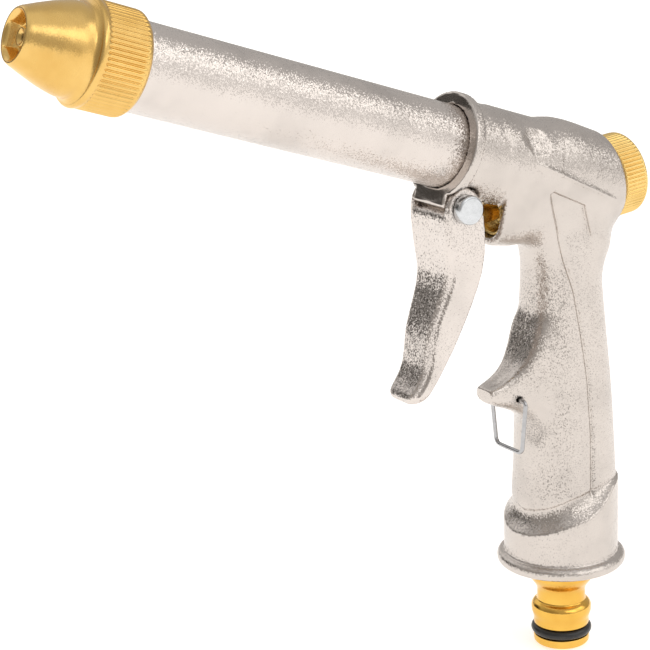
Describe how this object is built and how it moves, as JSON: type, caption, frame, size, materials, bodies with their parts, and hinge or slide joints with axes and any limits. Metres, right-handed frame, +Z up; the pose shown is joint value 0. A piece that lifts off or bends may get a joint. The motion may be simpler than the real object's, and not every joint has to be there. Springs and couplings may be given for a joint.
{
  "type": "hose spray nozzle",
  "caption": "Pistol-grip metal hose spray nozzle with a squeeze trigger, a twist head on a long barrel, a flow knob at the rear and a brass quick-connect inlet.",
  "frame": {"origin": "centre of the lower end face of the hose connector, on the grip's axis", "axes": "+Z up the grip from the hose connector, the barrel and its nozzle point towards -X, +Y across the grip"},
  "size_m": [0.179, 0.0362, 0.1956],
  "materials": {
    "nickel_casting": "zinc casting, blasted and nickel plated, satin",
    "nickel_tube": "drawn tube, nickel plated, satin",
    "brass": "turned",
    "steel": "turned and zinc plated",
    "spring_steel": "drawn wire and stamped clip",
    "rubber": "smooth"
  },
  "bodies": {
    "body": {"pistol_body": "nickel_casting", "barrel_tube": "nickel_tube", "core_carrier": "brass", "spray_core": "brass", "barrel_gasket": "rubber", "gland_nut": "brass", "stem_o_ring": "rubber", "bonnet_plug": "brass", "knob_o_ring": "rubber", "pivot_pin": "steel", "pivot_clip": "spring_steel", "hose_connector": "brass", "connector_o_ring": "rubber", "inlet_gasket": "rubber", "valve_spring": "spring_steel"},
    "trigger": {"trigger": "nickel_casting"},
    "stem": {"valve_stem": "brass", "valve_disc": "rubber", "valve_nut": "brass"},
    "head_seal": {"head_o_ring": "rubber"},
    "head": {"nozzle_head": "brass"},
    "knob_seat": {"spring_seat": "brass"},
    "knob": {"flow_knob": "brass"},
    "bail": {"lock_bail": "spring_steel"}
  },
  "joints": [
    {"name": "trigger_pull", "type": "hinge", "parent": "body", "child": "trigger", "pos_m": [-0.0374, 0, 0.1336], "axis": [0, -1, 0], "range_deg": [0, 22.1], "stiffness_Nm_per_rad": 0.0673, "springref_deg": -39.53},
    {"name": "stem_slide", "type": "slide", "parent": "body", "child": "stem", "axis": [0.9942, 0, 0.108], "range_m": [0, 0.00222], "deforming": ["valve_spring"]},
    {"name": "head_travel", "type": "slide", "parent": "body", "child": "head_seal", "axis": [-0.9458, 0, 0.3247], "range_m": [-0.00075, 0.00225]},
    {"name": "head_turn", "type": "hinge", "parent": "head_seal", "child": "head", "pos_m": [0, 0, 0.13593], "axis": [-0.9458, 0, 0.3247], "range_deg": [-181, 541]},
    {"name": "knob_travel", "type": "slide", "parent": "body", "child": "knob_seat", "axis": [0.9942, 0, 0.108], "range_m": [0, 0.001]},
    {"name": "knob_turn", "type": "hinge", "parent": "knob_seat", "child": "knob", "pos_m": [0, 0, 0.1318], "axis": [0.9942, 0, 0.108], "range_deg": [-1, 361]},
    {"name": "bail_swing", "type": "hinge", "parent": "body", "child": "bail", "pos_m": [-0.0178, 0, 0.0772], "axis": [0, 1, 0], "range_deg": [-15, 90]}
  ],
  "couplings": [
    {"joint": "trigger_pull", "follows": "stem_slide", "rad_per_m": 172.41},
    {"joint": "head_turn", "follows": "head_travel", "rad_per_m": 4188.8},
    {"joint": "knob_turn", "follows": "knob_travel", "rad_per_m": 6283.2}
  ]
}
